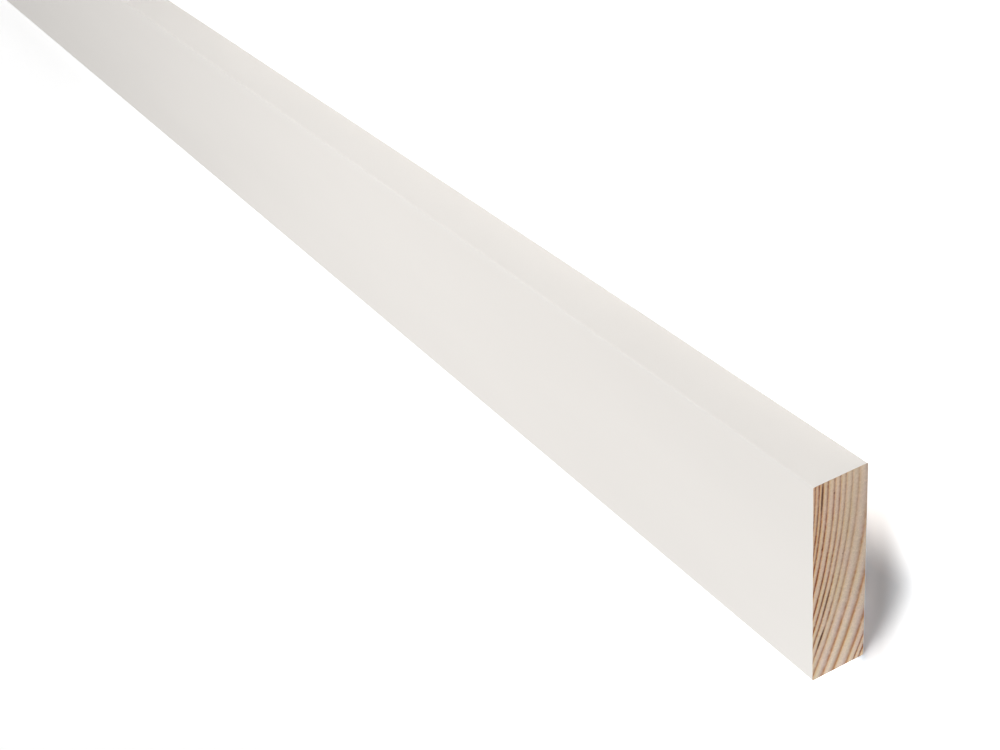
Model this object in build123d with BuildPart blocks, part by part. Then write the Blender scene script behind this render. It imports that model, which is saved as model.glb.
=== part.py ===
# Flat moulding: one length of planed pine trim, plain and rectangular in section.
# Its four long arrises are lightly eased, as they are before painting, and both ends are
# cut square by the saw, so that they stay sharp. The board is one piece of wood.
#
# Sizes are in millimetres. The board lies on its back face: +X runs along its length, +Y
# across its width and +Z out of its front face, and the origin is the centre of the back.

import os
from build123d import *

length = 2400.0  # a length that painted mouldings are sold in
width = 43.0  # planed width, across the front face
thickness = 12.0  # planed thickness, from the back face to the front face
arris_radius = 0.3  # easing of the long arrises

os.makedirs("parts", exist_ok=True)

with BuildPart() as flat_moulding:
    with BuildSketch(Plane.YZ) as section:
        Rectangle(width, thickness, align=(Align.CENTER, Align.MIN))
        fillet(section.vertices(), radius=arris_radius)
    # half the length each way from the middle, so that both sawn ends are square to the run
    extrude(amount=length / 2, both=True)

flat_moulding.part.label = "flat_moulding"
export_step(flat_moulding.part, "parts/flat_moulding.step")
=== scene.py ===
import math
import bpy
from mathutils import Matrix, Vector


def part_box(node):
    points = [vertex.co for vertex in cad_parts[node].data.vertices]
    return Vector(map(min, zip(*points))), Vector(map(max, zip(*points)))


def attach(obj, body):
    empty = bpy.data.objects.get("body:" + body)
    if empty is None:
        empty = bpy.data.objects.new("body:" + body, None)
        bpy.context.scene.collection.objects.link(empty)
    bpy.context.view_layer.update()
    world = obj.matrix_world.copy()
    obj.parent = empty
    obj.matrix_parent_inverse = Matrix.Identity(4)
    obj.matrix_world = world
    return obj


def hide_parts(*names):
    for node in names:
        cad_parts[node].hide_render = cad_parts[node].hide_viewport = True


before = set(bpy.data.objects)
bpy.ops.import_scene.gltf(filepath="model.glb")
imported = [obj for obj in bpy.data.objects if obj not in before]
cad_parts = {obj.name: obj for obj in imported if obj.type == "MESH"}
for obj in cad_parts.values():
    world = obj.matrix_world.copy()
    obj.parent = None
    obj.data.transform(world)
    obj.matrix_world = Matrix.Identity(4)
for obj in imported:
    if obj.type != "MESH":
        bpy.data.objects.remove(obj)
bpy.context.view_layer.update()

mm = 0.001
low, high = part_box("flat_moulding")
boardLength, boardWidth, boardThickness = high - low
nearEnd = Vector((high.x, 0.0, 0.0))  # foot of the sawn end that the camera looks at
white = (1.0, 1.0, 1.0, 1.0)
print(f"frame loaded: {boardLength:.3f} x {boardWidth:.4f} x {boardThickness:.4f} m")


# small helpers for node trees, shader and geometry alike

def addNode(tree, kind, inputs=None, **settings):
    node = tree.nodes.new(kind)
    for name, value in settings.items():
        setattr(node, name, value)
    for key, value in (inputs or {}).items():
        if isinstance(value, bpy.types.NodeSocket):
            tree.links.new(value, node.inputs[key])
        else:
            node.inputs[key].default_value = value
    return node


def calc(tree, operation, a, b=0.0, c=0.0):
    return addNode(tree, "ShaderNodeMath", {0: a, 1: b, 2: c}, operation=operation).outputs[0]


def vectorCalc(tree, operation, a, b=(0.0, 0.0, 0.0)):
    node = addNode(tree, "ShaderNodeVectorMath", {0: a, 1: b}, operation=operation)
    return node.outputs["Value" if operation in ("LENGTH", "DOT_PRODUCT") else "Vector"]


def mapRange(tree, value, fromMin, fromMax, toMin=0.0, toMax=1.0, smooth=False):
    kind = "SMOOTHSTEP" if smooth else "LINEAR"
    inputs = {"Value": value, "From Min": fromMin, "From Max": fromMax, "To Min": toMin, "To Max": toMax}
    return addNode(tree, "ShaderNodeMapRange", inputs, interpolation_type=kind).outputs["Result"]


# noise, stretched where asked, and with the used part of its range spread from one value to another
def noise(tree, place, scale, detail=2.0, roughness=0.5, stretch=None, used=None, spread=(0.0, 1.0)):
    if stretch:
        place = vectorCalc(tree, "MULTIPLY", place, stretch)
    inputs = {"Vector": place, "Scale": scale, "Detail": detail, "Roughness": roughness}
    value = addNode(tree, "ShaderNodeTexNoise", inputs).outputs[0]
    return mapRange(tree, value, *used, *spread) if used else value


def splitAxes(tree, vector):
    return addNode(tree, "ShaderNodeSeparateXYZ", {0: vector}).outputs


def joinAxes(tree, x=0.0, y=0.0, z=0.0):
    return addNode(tree, "ShaderNodeCombineXYZ", {0: x, 1: y, 2: z}).outputs[0]


def drawCurve(tree, value, points):
    node = addNode(tree, "ShaderNodeFloatCurve", {"Value": value})
    curve = node.mapping.curves[0]
    while len(curve.points) < len(points):
        curve.points.new(0.5, 0.5)
    for point, place in zip(curve.points, points):
        point.location = place
        point.handle_type = "VECTOR"
    node.mapping.update()
    return node.outputs[0]


# a screen colour of 0 to 255, as light
def linear(red, green, blue):
    steps = [c / 255 for c in (red, green, blue)]
    return tuple(s / 12.92 if s <= 0.04045 else ((s + 0.055) / 1.055) ** 2.4 for s in steps) + (1.0,)


def newMaterial(name):
    material = bpy.data.materials.new(name)
    material.use_nodes = True
    material.node_tree.nodes.clear()
    return material, material.node_tree


def ramp(tree, value, stops):
    node = addNode(tree, "ShaderNodeValToRGB", {"Fac": value})
    elements = node.color_ramp.elements
    while len(elements) < len(stops):
        elements.new(0.5)
    for element, (place, color) in zip(elements, stops):
        element.position = place
        element.color = linear(*color)
    return node.outputs["Color"]


def mixColor(tree, share, a, b, blend="MIX"):
    node = addNode(tree, "ShaderNodeMix", {0: share, 6: a, 7: b}, data_type="RGBA", blend_type=blend)
    return node.outputs[2]


# a colour made darker or lighter by one factor
def shadeColor(tree, color, factor):
    return mixColor(tree, 1.0, color, joinAxes(tree, factor, factor, factor), "MULTIPLY")


def bump(tree, height, strength, distance, under=None):
    inputs = {"Height": height, "Strength": strength, "Distance": distance}
    if under is not None:
        inputs["Normal"] = under
    return addNode(tree, "ShaderNodeBump", inputs).outputs[0]


def finishMaterial(tree, settings, color, normal):
    inputs = {"Base Color": color, "Roughness": settings["roughness"],
              "Specular IOR Level": settings["specular"], "Normal": normal}
    shader = addNode(tree, "ShaderNodeBsdfPrincipled", inputs)
    addNode(tree, "ShaderNodeOutputMaterial", {"Surface": shader.outputs[0]})


# camera: past the near end, over the front face, rolled until the board's +Y edge is uppermost
cameraSettings = {
    "location": (1.37474, 0.18448, 0.15801),
    "aim": (1.09029, -0.00872, 0.012),  # where the lens axis meets the front face
    "roll": 6.37,  # degrees clockwise
    "lens": 58.92,
    "sensor": 36.0,
    "nearest": 0.01,
    "farthest": 100.0,
}


def makeCamera(settings):
    data = bpy.data.cameras.new("camera")
    data.lens = settings["lens"]
    data.sensor_width = settings["sensor"]
    data.clip_start = settings["nearest"]
    data.clip_end = settings["farthest"]
    camera = bpy.data.objects.new("camera", data)
    bpy.context.scene.collection.objects.link(camera)
    location = Vector(settings["location"])
    back = (location - Vector(settings["aim"])).normalized()
    right = Vector((0.0, 1.0, 0.0)).cross(back).normalized()
    turned = Matrix((right, back.cross(right), back)).transposed()
    roll = Matrix.Rotation(-math.radians(settings["roll"]), 3, "Z")
    camera.matrix_world = Matrix.Translation(location) @ (turned @ roll).to_4x4()
    bpy.context.scene.camera = camera
    print("camera placed")


makeCamera(cameraSettings)


# white table: the camera sees it brighter than the light it throws back, and a painted glow hides the weak
# shadows round the near end, so that only the one at its foot shows; there a mask paints the shadow's
# outline, seen darker and without glow, over the lamps' own shadow
tableSettings = {
    "size": 30.0,
    "drop": 0.02 * mm,  # keeps it clear of the back face
    "lightColor": (0.91, 0.91, 0.91, 1.0),
    "seenColor": (1.3, 1.3, 1.3, 1.0),
    "glow": 0.20,
    "haloGlow": 0.75,  # painted glow round the near end
    "haloFrom": 30.0 * mm,
    "haloTo": 70.0 * mm,
    "shadeColor": (0.97, 1.01, 1.05, 1.0),  # painted shadow: how the table is seen inside the mask, with no glow there
    "bounceColor": (0.96, 1.07, 1.23, 1.0),  # painted cool tint close to the wood, to take back its warm bounce
    "bounceTo": 9.0 * mm,
    # where the painted shadow's mask fades out, past the end, under the board and towards +Y, and where it
    # is whole
    "shadeOut": (20.5 * mm, 10.5 * mm),
    "shadeUnder": (-40.0 * mm, -20.0 * mm),
    "shadeHigh": (16.8 * mm, -1.2 * mm),
    # its low side leaves the end's own corner: how steeply, how softly, how that widens, and where
    # it starts and is whole, as shares of the softness
    "shadeSlant": 2.0,
    "shadeSoft": 6.0 * mm,
    "shadeWiden": 2.5,
    "shadeEdge": (-0.78, 0.22),
}

# where each lamp stands and aims, in metres from the near end's foot
lampSettings = [
    {"name": "overheadSpot", "kind": "SPOT", "from": (-0.44, 0.24, 0.68), "aim": (-0.05, 0.0, 0.0),
     "power": 10.7, "size": 0.20, "cone": 57.0},
    {"name": "backKey", "kind": "SUN", "from": (-0.62, 0.30, 0.66), "power": 0.96, "size": 22.0},
    {"name": "lowSide", "kind": "SUN", "from": (-0.40, -0.80, 0.45), "power": 1.35, "size": 20.0},
    {"name": "endFill", "kind": "SUN", "from": (0.92, 0.47, 0.12), "power": 1.70, "size": 10.0},
]

worldLight = 0.16  # of the white that the camera sees round the scene


# 1 for rays that show a thing rather than light it
def seenBy(tree):
    path = addNode(tree, "ShaderNodeLightPath").outputs
    mirrored = calc(tree, "MAXIMUM", path["Is Glossy Ray"], path["Is Transmission Ray"])
    return calc(tree, "MAXIMUM", path["Is Camera Ray"], mirrored)


# 1 where the table shows the painted shadow, an outline drawn over the lamps' own shadow: each limit is 1
# inside and 0 beyond it
def paintedShadowMask(tree, axes, settings):
    out = calc(tree, "MAXIMUM", axes["X"], 0.0)
    above = calc(tree, "SUBTRACT", axes["Y"], low.y)
    above = calc(tree, "MULTIPLY_ADD", out, -settings["shadeSlant"], above)
    softness = calc(tree, "MULTIPLY_ADD", out, settings["shadeWiden"], settings["shadeSoft"])
    shade = mapRange(tree, calc(tree, "DIVIDE", above, softness), *settings["shadeEdge"], smooth=True)
    for axis, name in (("X", "shadeOut"), ("X", "shadeUnder"), ("Y", "shadeHigh")):
        shade = calc(tree, "MULTIPLY", shade, mapRange(tree, axes[axis], *settings[name], smooth=True))
    return shade


def makeTable(settings):
    reach = settings["size"] / 2
    corners = [(-reach, -reach), (reach, -reach), (reach, reach), (-reach, reach)]
    mesh = bpy.data.meshes.new("floor")
    mesh.from_pydata([(x, y, -settings["drop"]) for x, y in corners], [], [(0, 1, 2, 3)])
    floor = bpy.data.objects.new("floor", mesh)
    bpy.context.scene.collection.objects.link(floor)

    material, tree = newMaterial("whiteTable")
    place = addNode(tree, "ShaderNodeTexCoord").outputs["Object"]
    fromEnd = vectorCalc(tree, "SUBTRACT", place, tuple(nearEnd))
    axes = splitAxes(tree, fromEnd)
    shade = paintedShadowMask(tree, axes, settings)
    seen = seenBy(tree)
    nearWood = mapRange(tree, axes["X"], 0.0, settings["bounceTo"], 1.0, 0.0)
    shaded = mixColor(tree, nearWood, settings["shadeColor"], settings["bounceColor"])
    # painted shadow: inside the mask the table is seen darker, whatever the light
    seenColor = mixColor(tree, shade, settings["seenColor"], shaded)
    color = mixColor(tree, seen, settings["lightColor"], seenColor)
    # painted glow, strongest round the near end and taken away inside the mask
    glow = mapRange(tree, vectorCalc(tree, "LENGTH", fromEnd), settings["haloFrom"], settings["haloTo"],
                    settings["haloGlow"], settings["glow"], smooth=True)
    strength = calc(tree, "MULTIPLY", seen, mapRange(tree, shade, 0.0, 1.0, glow, 0.0))
    diffuse = addNode(tree, "ShaderNodeBsdfDiffuse", {"Color": color})
    emission = addNode(tree, "ShaderNodeEmission", {"Strength": strength})
    both = addNode(tree, "ShaderNodeAddShader", {0: diffuse.outputs[0], 1: emission.outputs[0]})
    addNode(tree, "ShaderNodeOutputMaterial", {"Surface": both.outputs[0]})
    mesh.materials.append(material)


def makeWorld():
    world = bpy.data.worlds.new("studio")
    world.use_nodes = True
    tree = world.node_tree
    tree.nodes.clear()
    strength = mapRange(tree, seenBy(tree), 0.0, 1.0, worldLight, 1.0)
    background = addNode(tree, "ShaderNodeBackground", {"Color": white, "Strength": strength})
    addNode(tree, "ShaderNodeOutputWorld", {"Surface": background.outputs[0]})
    bpy.context.scene.world = world


def makeLamp(settings):
    data = bpy.data.lights.new(settings["name"], settings["kind"])
    data.energy = settings["power"]
    if settings["kind"] == "SUN":
        data.angle = math.radians(settings["size"])
    else:
        data.shadow_soft_size = settings["size"]
        data.spot_size = math.radians(settings["cone"])
        data.spot_blend = 1.0
    lamp = bpy.data.objects.new(settings["name"], data)
    bpy.context.scene.collection.objects.link(lamp)
    lamp.location = nearEnd + Vector(settings["from"])
    away = Vector(settings["from"]) - Vector(settings.get("aim", (0.0, 0.0, 0.0)))
    lamp.rotation_euler = away.to_track_quat("Z", "Y").to_euler()


makeTable(tableSettings)
makeWorld()
for lamp in lampSettings:
    makeLamp(lamp)
bpy.context.scene.view_settings.view_transform = "Standard"
print("floor and light ready")


# growth rings, read by both the wood's colour and the relief of the sawn ends
ringSettings = {
    "pithY": 21.8 * mm,  # the tree's heart, over the front face
    "pithAbove": 155.4 * mm,  # above the front face
    "squash": 1.34,  # the rings curve faster across the width than a circle does
    # widths from the front face inwards, in mm, at the pith's own height
    "widths": [0.60, 0.84, 0.79, 1.17, 1.43, 1.24, 1.20, 1.40, 1.51, 2.40, 2.47, 2.88, 1.65, 1.20, 1.30],
    "waver": 0.08 * mm,  # how far a ring strays from its curve
    "stray": {"scale": 130.0, "detail": 1.0, "stretch": (0.02, 1.0, 1.0)},  # long along the board
}


# depth below the front face along the rings' own radius, and how far a place lies from the start
# and from the end of its ring, all in mm
def ringNodes(tree, place):
    axes = splitAxes(tree, place)
    heart = (0.0, ringSettings["pithY"], high.z + ringSettings["pithAbove"])
    toHeart = vectorCalc(tree, "SUBTRACT", joinAxes(tree, 0.0, axes["Y"], axes["Z"]), heart)
    squashed = vectorCalc(tree, "MULTIPLY", toHeart, (1.0, ringSettings["squash"], 1.0))
    radius = vectorCalc(tree, "LENGTH", squashed)
    stray = calc(tree, "SUBTRACT", noise(tree, place, **ringSettings["stray"]), 0.5)
    stray = calc(tree, "MULTIPLY", stray, 2 * ringSettings["waver"])
    depth = calc(tree, "SUBTRACT", calc(tree, "ADD", radius, stray), ringSettings["pithAbove"])
    depth = calc(tree, "DIVIDE", depth, mm)

    # a curve from the depth to the rings passed, and one from those to the width of the next ring
    widths = ringSettings["widths"]
    span, count, widest = sum(widths), len(widths), max(widths)
    points, reached = [(0.0, 0.0)], 0.0
    for passed, width in enumerate(widths, 1):
        reached += width
        points.append((reached / span, passed / count))
    rings = calc(tree, "MULTIPLY", drawCurve(tree, calc(tree, "DIVIDE", depth, span), points), count)
    whole = calc(tree, "DIVIDE", calc(tree, "FLOOR", rings), count)
    ownWidth = drawCurve(tree, whole, [(n / count, width / widest) for n, width in enumerate(widths)])
    ownWidth = calc(tree, "MULTIPLY", ownWidth, widest)
    after = calc(tree, "MULTIPLY", calc(tree, "FRACT", rings), ownWidth)
    return depth, after, calc(tree, "SUBTRACT", ownWidth, after)


# wood: bare pine end grain, with the cut edge of the paint film round it
woodSettings = {
    "roughness": 0.8,
    "specular": 0.25,
    # pale wood from the front face inwards, by depth in mm
    "pale": [
        (0.0, (208, 184, 158)),
        (4.0, (209, 188, 166)),
        (9.0, (209, 191, 171)),
        (13.0, (219, 202, 184)),
        (22.0, (226, 208, 189)),
    ],
    "patches": {"scale": 260.0, "stretch": (1.0, 0.6, 1.5), "used": (0.35, 0.65)},
    "patchPink": linear(255, 251, 254),
    "patchYellow": linear(254, 254, 246),
    # what a ring's dark wood leaves of the pale wood's colour, by distance past the ring's end in mm
    "line": [
        (-1.00, (255, 255, 255)),
        (-0.60, (252, 250, 250)),
        (-0.42, (242, 233, 232)),
        (-0.28, (216, 190, 184)),
        (-0.17, (152, 105, 86)),
        (-0.06, (127, 62, 32)),
        (0.04, (162, 98, 58)),
        (0.14, (236, 193, 144)),
        (0.30, (255, 238, 213)),
        (0.50, (255, 251, 244)),
        (0.80, (255, 255, 255)),
    ],
    # the same where the rings are wide
    "broadLine": [
        (-1.60, (255, 255, 255)),
        (-1.00, (242, 242, 249)),
        (-0.70, (228, 222, 226)),
        (-0.45, (214, 198, 195)),
        (-0.25, (202, 172, 156)),
        (-0.08, (199, 158, 124)),
        (0.06, (213, 171, 133)),
        (0.20, (240, 214, 182)),
        (0.40, (255, 242, 224)),
        (0.65, (255, 255, 249)),
        (1.00, (255, 255, 255)),
    ],
    # by depth in mm: which of the two the lines are, and how dark they are
    "broad": [(0.0, 0.0), (9.0, 0.0), (10.8, 1.0), (18.4, 1.0), (19.0, 0.0), (22.0, 0.0)],
    "darkness": [(0.0, 1.0), (1.5, 1.12), (2.3, 1.18), (3.4, 1.08), (4.8, 0.92), (6.0, 0.90),
                 (7.2, 0.72), (8.6, 0.60), (10.3, 0.65), (12.5, 0.80), (15.0, 0.93), (17.8, 0.96),
                 (19.2, 0.6), (22.0, 0.7)],
    "fade": (5.0, 36.0, 1.25, 0.66),  # how the lines pale with the height, from and to in mm
    # the lines are a little uneven, in long stretches and in dots
    "uneven": {"scale": 330.0, "stretch": (1.0, 1.0, 2.5), "used": (0.3, 0.7), "spread": (0.75, 1.15)},
    "dotted": {"scale": 1300.0, "used": (0.3, 0.7), "spread": (0.8, 1.2)},
    "lighter": (0.0, 22.0, 1.05, 1.0),  # all of the wood, towards the low edge, from and to in mm
    # cut fibres, fine and coarse
    "speckle": [
        {"scale": 4200.0, "detail": 3.0, "roughness": 0.7, "used": (0.25, 0.75), "spread": (0.84, 1.14)},
        {"scale": 1700.0, "detail": 3.0, "roughness": 0.7, "used": (0.25, 0.75), "spread": (0.92, 1.07)},
    ],
    # resin streaks and pores on the near end: depth and height above the low edge, half sizes, strength
    "marks": [
        (2.13, 39.6, 0.27, 3.4, 0.85),
        (2.18, 33.5, 0.18, 1.5, 0.45),
        (1.35, 36.0, 0.15, 2.4, 0.40),
        (7.15, 16.2, 0.25, 3.2, 0.72),
        (8.52, 8.8, 0.28, 2.3, 0.95),
        (5.95, 18.0, 0.18, 3.6, 0.55),
        (4.73, 22.0, 0.15, 3.0, 0.30),
        (4.73, 39.8, 0.20, 0.25, 0.7),
        (3.25, 29.0, 0.20, 0.30, 0.6),
        (8.44, 25.9, 0.16, 0.20, 0.5),
    ],
    "markFade": (0.5, 1.3),  # from and to, in half sizes
    "markColor": linear(86, 58, 42),
    "filmWidth": 0.05 * mm,
    "filmRagged": {"scale": 1500.0, "used": (0.3, 0.7), "spread": (0.7, 1.3)},
    "filmColor": linear(236, 234, 229),
    "fibres": {"scale": 6000.0, "detail": 3.0, "roughness": 0.6},
    "fibreStrength": 0.35,
    "fibreHeight": 0.05 * mm,
}


# a curve over the depth, given as pairs of a depth in mm and a value
def byDepth(tree, depth, points):
    span = points[-1][0]
    return drawCurve(tree, calc(tree, "DIVIDE", depth, span), [(at / span, value) for at, value in points])


# a ramp whose stops are given in mm
def lineRamp(tree, distance, stops):
    first, last = stops[0][0], stops[-1][0]
    return ramp(tree, mapRange(tree, distance, first, last),
                [((at - first) / (last - first), tone) for at, tone in stops])


# pale wood by its depth, in faintly pink and yellow patches
def paleWood(tree, settings, place, depth):
    patches = noise(tree, place, **settings["patches"])
    tint = mixColor(tree, patches, settings["patchPink"], settings["patchYellow"])
    return mixColor(tree, 1.0, lineRamp(tree, depth, settings["pale"]), tint, "MULTIPLY")


# the dark wood at the end of each ring, laid over the pale wood
def darkLines(tree, settings, color, place, height, rings):
    depth, after, before = rings
    # how far past the nearest ring's end a place lies, negative before it
    ahead = calc(tree, "LESS_THAN", before, after)
    toEnd = mapRange(tree, ahead, 0.0, 1.0, after, calc(tree, "MULTIPLY", before, -1.0))
    line = mixColor(tree, byDepth(tree, depth, settings["broad"]),
                    lineRamp(tree, toEnd, settings["line"]),
                    lineRamp(tree, toEnd, settings["broadLine"]))
    strength = byDepth(tree, depth, settings["darkness"])
    for name in ("uneven", "dotted"):
        strength = calc(tree, "MULTIPLY", strength, noise(tree, place, **settings[name]))
    strength = calc(tree, "MULTIPLY", strength, mapRange(tree, height, *settings["fade"]))
    return mixColor(tree, strength, color, mixColor(tree, 1.0, color, line, "MULTIPLY"))


# streaks and pores, on the near end only
def darkMarks(tree, settings, color, endward, height, depth):
    dark = 0.0
    for markDepth, markHeight, halfWide, halfLong, amount in settings["marks"]:
        across = calc(tree, "DIVIDE", calc(tree, "SUBTRACT", depth, markDepth), halfWide)
        along = calc(tree, "DIVIDE", calc(tree, "SUBTRACT", height, markHeight), halfLong)
        away = vectorCalc(tree, "LENGTH", joinAxes(tree, across, along))
        mark = mapRange(tree, away, *settings["markFade"], amount, 0.0, smooth=True)
        dark = calc(tree, "MAXIMUM", mark, dark)
    dark = calc(tree, "MULTIPLY", dark, calc(tree, "GREATER_THAN", endward, 0.0))
    return mixColor(tree, dark, color, settings["markColor"])


# the paint film's cut edge, round the wood
def filmEdge(tree, settings, color, place, axes):
    inY = calc(tree, "SUBTRACT", high.y, calc(tree, "ABSOLUTE", axes["Y"]))
    inZ = calc(tree, "MINIMUM", calc(tree, "SUBTRACT", high.z, axes["Z"]), axes["Z"])
    edge = calc(tree, "MULTIPLY", noise(tree, place, **settings["filmRagged"]), settings["filmWidth"])
    film = calc(tree, "LESS_THAN", calc(tree, "MINIMUM", inY, inZ), edge)
    return mixColor(tree, film, color, settings["filmColor"])


def makeWood(settings):
    material, tree = newMaterial("bareEndGrain")
    place = addNode(tree, "ShaderNodeTexCoord").outputs["Object"]
    axes = splitAxes(tree, place)
    height = calc(tree, "DIVIDE", calc(tree, "SUBTRACT", axes["Y"], low.y), mm)
    rings = ringNodes(tree, place)
    depth = rings[0]
    color = paleWood(tree, settings, place, depth)
    color = darkLines(tree, settings, color, place, height, rings)
    color = shadeColor(tree, color, mapRange(tree, height, *settings["lighter"]))
    for speckle in settings["speckle"]:
        color = shadeColor(tree, color, noise(tree, place, **speckle))
    color = darkMarks(tree, settings, color, axes["X"], height, depth)
    color = filmEdge(tree, settings, color, place, axes)
    fibres = noise(tree, place, **settings["fibres"])
    normal = bump(tree, fibres, settings["fibreStrength"], settings["fibreHeight"])
    finishMaterial(tree, settings, color, normal)
    return material


# paint: a thin white factory coat on the long faces
paintSettings = {
    "color": linear(236, 232, 227),
    "roughness": 0.5,
    "specular": 0.25,
    "clouds": {"scale": 45.0, "detail": 3.0, "stretch": (0.25, 1.0, 1.0), "used": (0.3, 0.7),
               "spread": (0.985, 1.01)},
    "grain": {"scale": 1400.0, "detail": 3.0, "roughness": 0.6, "stretch": (0.012, 1.0, 1.0)},
    "grainHeight": 0.01 * mm,
    "stipple": {"scale": 900.0},
    "stippleHeight": 0.012 * mm,
    "bumpStrength": 0.5,
}


def makePaint(settings):
    material, tree = newMaterial("whitePaint")
    place = addNode(tree, "ShaderNodeTexCoord").outputs["Object"]
    color = shadeColor(tree, settings["color"], noise(tree, place, **settings["clouds"]))
    normal = None
    for name in ("grain", "stipple"):
        pattern = noise(tree, place, **settings[name])
        normal = bump(tree, pattern, settings["bumpStrength"], settings[name + "Height"], normal)
    finishMaterial(tree, settings, color, normal)
    return material


# board: the section swept along the length, with a sawn cap at each end
boardSettings = {
    "Length": boardLength,
    "Width": boardWidth,
    "Thickness": boardThickness,
    "Arris radius": 0.3 * mm,
    "Grid pitch": 0.2 * mm,  # of the caps, and so of the outline
    "Stations": 25,  # sections along the length
    "Rim": 0.12 * mm,  # the paint film's cut edge, which the saw leaves flush
    "Film step": 0.03 * mm,  # the bare wood lies this far behind the rim
    "Ring relief": 0.05 * mm,  # how much deeper the soft pale wood is torn
    "Fibre relief": 0.04 * mm,
    "Saw relief": 0.02 * mm,
    "Saw pitch": 1.3 * mm,
    "Sharp from": math.radians(40.0),  # an edge that turns by more than this isn't shaded smooth
}

# how the sawn ends are torn
tornSettings = {
    "softFrom": (0.1, 0.5),  # where tearing starts and is whole, in mm before a ring's end
    "fibres": {"scale": 1900.0, "roughness": 0.6},
    "sawWander": {"scale": 60.0},
    "sawWanderBy": 9.0,  # in radians of the saw marks' wave
    "rimFade": (0.5, 2.0),  # from no relief to all of it, in rims inwards from the outline
}

mergeWithin = 0.005 * mm  # joins the ends to the long faces
tinyLength = 0.001 * mm  # keeps a division clear of zero

# how the bake map is shared out: which way the faces look, the strip's left edge and width, and
# what runs across it and up it, where 0, 1 and 2 are the length, the width and the thickness
bakeStrips = [
    {"facing": (1, 0, 0), "left": 0.01, "wide": 0.27, "across": 2, "up": 1},
    {"facing": (-1, 0, 0), "left": 0.29, "wide": 0.27, "across": 2, "up": 1},
    {"facing": (0, 0, 1), "left": 0.57, "wide": 0.14, "across": 1, "up": 0},
    {"facing": (0, 0, -1), "left": 0.72, "wide": 0.14, "across": 1, "up": 0},
    {"facing": (0, 1, 0), "left": 0.87, "wide": 0.055, "across": 2, "up": 0},
    {"facing": (0, -1, 0), "left": 0.935, "wide": 0.055, "across": 2, "up": 0},
]
bakeBottom, bakeHeight = 0.01, 0.98
facesWell = math.cos(math.radians(45.0))  # a face looks the way that its normal is nearest to


def half(tree, value):
    return calc(tree, "MULTIPLY", value, 0.5)


# a place in the section, the core, which is the rectangle with the arris centres at its corners,
# and how far the place lies past the core
def coreNodes(tree, inputs, across, along):
    radius = inputs["Arris radius"]
    core = joinAxes(tree, calc(tree, "SUBTRACT", half(tree, inputs["Width"]), radius),
                    calc(tree, "SUBTRACT", half(tree, inputs["Thickness"]), radius))
    size = vectorCalc(tree, "ABSOLUTE", joinAxes(tree, across, along))
    return size, core, vectorCalc(tree, "SUBTRACT", size, core)


# a grid in the XY plane, its outline rounded to the section: X is the width, Y the thickness
def sectionNodes(tree, inputs):
    sizes = {}
    for axis, name in (("X", "Width"), ("Y", "Thickness")):
        cells = calc(tree, "ROUND", calc(tree, "DIVIDE", inputs[name], inputs["Grid pitch"]))
        sizes["Size " + axis] = inputs[name]
        sizes["Vertices " + axis] = calc(tree, "ADD", cells, 1.0)
    grid = addNode(tree, "GeometryNodeMeshGrid", sizes).outputs[0]
    place = addNode(tree, "GeometryNodeInputPosition").outputs[0]
    axes = splitAxes(tree, place)
    size, core, past = coreNodes(tree, inputs, axes["X"], axes["Y"])
    past = vectorCalc(tree, "MAXIMUM", past)
    parts = splitAxes(tree, past)
    longest = calc(tree, "MAXIMUM", parts["X"], parts["Y"])
    reach = calc(tree, "MAXIMUM", vectorCalc(tree, "LENGTH", past), tinyLength)
    shrink = calc(tree, "DIVIDE", longest, reach)  # makes each corner's square a quarter disc
    past = vectorCalc(tree, "MULTIPLY", past, joinAxes(tree, shrink, shrink))
    rounded = vectorCalc(tree, "ADD", vectorCalc(tree, "MINIMUM", size, core), past)
    rounded = vectorCalc(tree, "MULTIPLY", rounded, vectorCalc(tree, "SIGN", place))
    return addNode(tree, "GeometryNodeSetPosition", {"Geometry": grid, "Position": rounded}).outputs[0]


# how deep a place on a sawn end is torn behind the paint film
def tornNodes(tree, inputs, place, axes, settings):
    before = ringNodes(tree, place)[2]
    soft = mapRange(tree, before, *settings["softFrom"], smooth=True)
    turn = calc(tree, "DIVIDE", calc(tree, "MULTIPLY", axes["Y"], 2 * math.pi), inputs["Saw pitch"])
    wander = noise(tree, place, **settings["sawWander"])
    turn = calc(tree, "MULTIPLY_ADD", wander, settings["sawWanderBy"], turn)
    teeth = calc(tree, "MULTIPLY_ADD", calc(tree, "SINE", turn), 0.5, 0.5)
    fibres = noise(tree, place, **settings["fibres"])
    dip = inputs["Film step"]
    for share, name in ((soft, "Ring relief"), (fibres, "Fibre relief"), (teeth, "Saw relief")):
        dip = calc(tree, "MULTIPLY_ADD", share, inputs[name], dip)
    return dip


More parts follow.
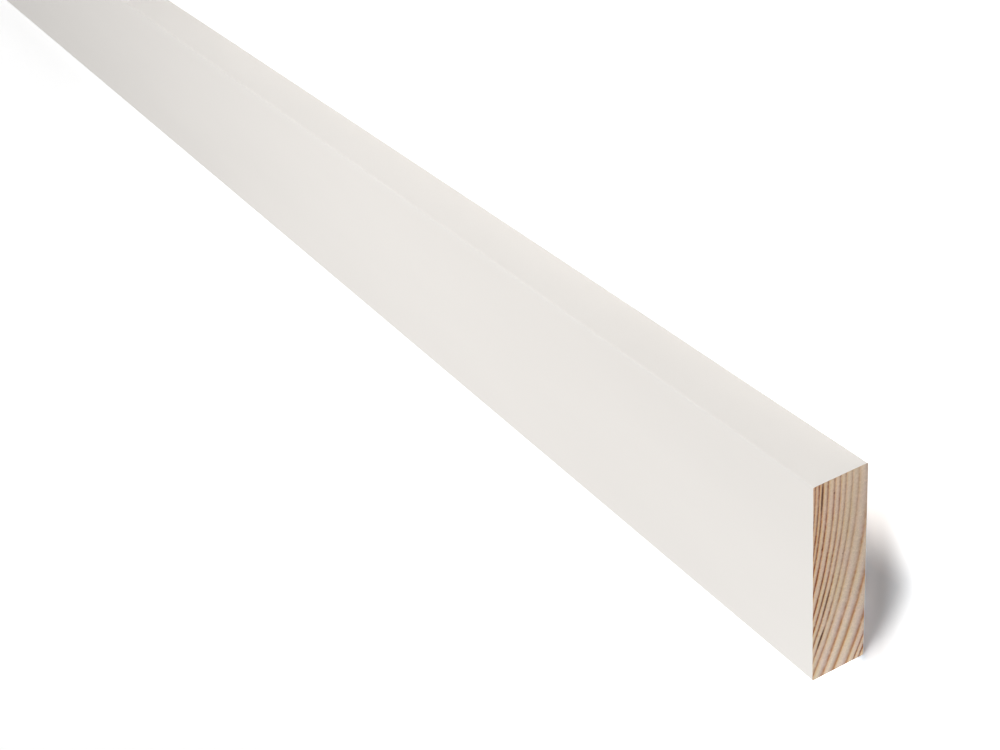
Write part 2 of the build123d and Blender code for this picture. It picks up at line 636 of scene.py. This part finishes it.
# one sawn end, at +X for side 1 and -X for side -1, its wood a little behind the paint film
def capNodes(tree, inputs, section, side):
    place = addNode(tree, "GeometryNodeInputPosition").outputs[0]
    axes = splitAxes(tree, place)
    middle = half(tree, inputs["Thickness"])
    endX = calc(tree, "MULTIPLY", half(tree, inputs["Length"]), side)
    stood = joinAxes(tree, endX, axes["X"], calc(tree, "ADD", axes["Y"], middle))
    cap = addNode(tree, "GeometryNodeSetPosition", {"Geometry": section, "Position": stood}).outputs[0]
    dip = tornNodes(tree, inputs, place, axes, tornSettings)
    # within the rim, measured from the rounded outline, nothing is torn
    past = coreNodes(tree, inputs, axes["Y"], calc(tree, "SUBTRACT", axes["Z"], middle))[2]
    parts = splitAxes(tree, past)
    outward = vectorCalc(tree, "LENGTH", vectorCalc(tree, "MAXIMUM", past))
    outward = calc(tree, "ADD", outward,
                   calc(tree, "MINIMUM", calc(tree, "MAXIMUM", parts["X"], parts["Y"]), 0.0))
    inward = calc(tree, "SUBTRACT", inputs["Arris radius"], outward)
    inside = mapRange(tree, calc(tree, "DIVIDE", inward, inputs["Rim"]), *tornSettings["rimFade"])
    offset = joinAxes(tree, calc(tree, "MULTIPLY", calc(tree, "MULTIPLY", dip, inside), -side))
    cap = addNode(tree, "GeometryNodeSetPosition", {"Geometry": cap, "Offset": offset}).outputs[0]
    if side < 0:
        cap = addNode(tree, "GeometryNodeFlipFaces", {0: cap}).outputs[0]
    return cap


# the four long faces: the section's outline swept from end to end
def wallNodes(tree, inputs, section):
    beside = addNode(tree, "GeometryNodeInputMeshEdgeNeighbors").outputs[0]
    rim = addNode(tree, "FunctionNodeCompare", {2: beside, 3: 1}, data_type="INT", operation="EQUAL")
    outline = addNode(tree, "GeometryNodeMeshToCurve", {"Mesh": section, "Selection": rim.outputs[0]})
    middle = half(tree, inputs["Thickness"])
    endX = half(tree, inputs["Length"])
    run = addNode(tree, "GeometryNodeCurvePrimitiveLine", {
        "Start": joinAxes(tree, calc(tree, "MULTIPLY", endX, -1.0), 0.0, middle),
        "End": joinAxes(tree, endX, 0.0, middle)})
    run = addNode(tree, "GeometryNodeResampleCurve", {"Curve": run.outputs[0], "Count": inputs["Stations"]})
    walls = addNode(tree, "GeometryNodeCurveToMesh", {
        "Curve": run.outputs[0], "Profile Curve": outline.outputs[0]})
    return addNode(tree, "GeometryNodeFlipFaces", {0: walls.outputs[0]}).outputs[0]


def faceNormal(tree):
    normal = addNode(tree, "GeometryNodeInputNormal").outputs[0]
    node = addNode(tree, "GeometryNodeFieldOnDomain", {"Value": normal},
                   domain="FACE", data_type="FLOAT_VECTOR")
    return node.outputs[0]


# stores the bake map, with most of it given to the two sawn ends
def bakeMapNodes(tree, inputs, geometry):
    axes = splitAxes(tree, addNode(tree, "GeometryNodeInputPosition").outputs[0])
    shares = [calc(tree, "ADD", calc(tree, "DIVIDE", axes["X"], inputs["Length"]), 0.5),
              calc(tree, "ADD", calc(tree, "DIVIDE", axes["Y"], inputs["Width"]), 0.5),
              calc(tree, "DIVIDE", axes["Z"], inputs["Thickness"])]
    normal = faceNormal(tree)
    u, v = 0.0, 0.0
    for strip in bakeStrips:
        toward = vectorCalc(tree, "DOT_PRODUCT", normal, strip["facing"])
        mask = calc(tree, "GREATER_THAN", toward, facesWell)
        across = calc(tree, "MULTIPLY_ADD", shares[strip["across"]], strip["wide"], strip["left"])
        up = calc(tree, "MULTIPLY_ADD", shares[strip["up"]], bakeHeight, bakeBottom)
        u = calc(tree, "MULTIPLY_ADD", mask, across, u)
        v = calc(tree, "MULTIPLY_ADD", mask, up, v)
    node = addNode(tree, "GeometryNodeStoreNamedAttribute", {"Geometry": geometry, "Name": "OFBake"},
                   data_type="FLOAT2", domain="CORNER")
    value = [socket for socket in node.inputs if socket.name == "Value" and socket.enabled][0]
    tree.links.new(joinAxes(tree, u, v), value)
    return node.outputs[0]


def makeBoardTree(paint, wood):
    tree = bpy.data.node_groups.new("mouldingBoard", "GeometryNodeTree")
    tree.interface.new_socket("Geometry", in_out="OUTPUT", socket_type="NodeSocketGeometry")
    for name, value in boardSettings.items():
        kind = "NodeSocketInt" if isinstance(value, int) else "NodeSocketFloat"
        tree.interface.new_socket(name, in_out="INPUT", socket_type=kind)
    inputs = addNode(tree, "NodeGroupInput").outputs
    section = sectionNodes(tree, inputs)
    joined = tree.nodes.new("GeometryNodeJoinGeometry")
    for part in (wallNodes(tree, inputs, section), capNodes(tree, inputs, section, 1),
                 capNodes(tree, inputs, section, -1)):
        tree.links.new(part, joined.inputs[0])
    whole = addNode(tree, "GeometryNodeMergeByDistance", {
        "Geometry": joined.outputs[0], "Distance": mergeWithin})
    angle = addNode(tree, "GeometryNodeInputMeshEdgeAngle").outputs["Unsigned Angle"]
    sharp = calc(tree, "GREATER_THAN", angle, inputs["Sharp from"])
    whole = addNode(tree, "GeometryNodeSetShadeSmooth", {"Geometry": whole.outputs[0]})
    whole = addNode(tree, "GeometryNodeSetShadeSmooth", {
        "Geometry": whole.outputs[0], "Selection": sharp, "Shade Smooth": False}, domain="EDGE")
    whole = bakeMapNodes(tree, inputs, whole.outputs[0])
    whole = addNode(tree, "GeometryNodeRealizeInstances", {"Geometry": whole})
    # painted all over, then bare wood on the faces that look along the board
    whole = addNode(tree, "GeometryNodeSetMaterial", {"Geometry": whole.outputs[0], "Material": paint})
    alongBoard = vectorCalc(tree, "DOT_PRODUCT", faceNormal(tree), (1.0, 0.0, 0.0))
    sawn = calc(tree, "GREATER_THAN", calc(tree, "ABSOLUTE", alongBoard), facesWell)
    whole = addNode(tree, "GeometryNodeSetMaterial", {
        "Geometry": whole.outputs[0], "Selection": sawn, "Material": wood})
    addNode(tree, "NodeGroupOutput", {0: whole.outputs[0]})
    return tree


def makeBoard():
    tree = makeBoardTree(makePaint(paintSettings), makeWood(woodSettings))
    start = bpy.data.objects.new("boardStart", bpy.data.meshes.new("boardStart"))
    bpy.context.scene.collection.objects.link(start)
    modifier = start.modifiers.new("board", "NODES")
    modifier.node_group = tree
    for item in tree.interface.items_tree:
        if item.in_out == "INPUT":
            modifier[item.identifier] = boardSettings[item.name]
    bpy.context.view_layer.update()
    evaluated = start.evaluated_get(bpy.context.evaluated_depsgraph_get())
    mesh = bpy.data.meshes.new_from_object(evaluated)
    bpy.data.objects.remove(start)
    for slot in reversed(range(len(mesh.materials))):
        if mesh.materials[slot] is None:  # an empty slot that the tree's own grid brings
            mesh.materials.pop(index=slot)
    board = bpy.data.objects.new("mouldingBoard", mesh)
    bpy.context.scene.collection.objects.link(board)
    print(f"board made: {len(mesh.vertices)} vertices, {len(mesh.polygons)} faces")
    return board


board = makeBoard()
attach(board, "root")
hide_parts("flat_moulding")
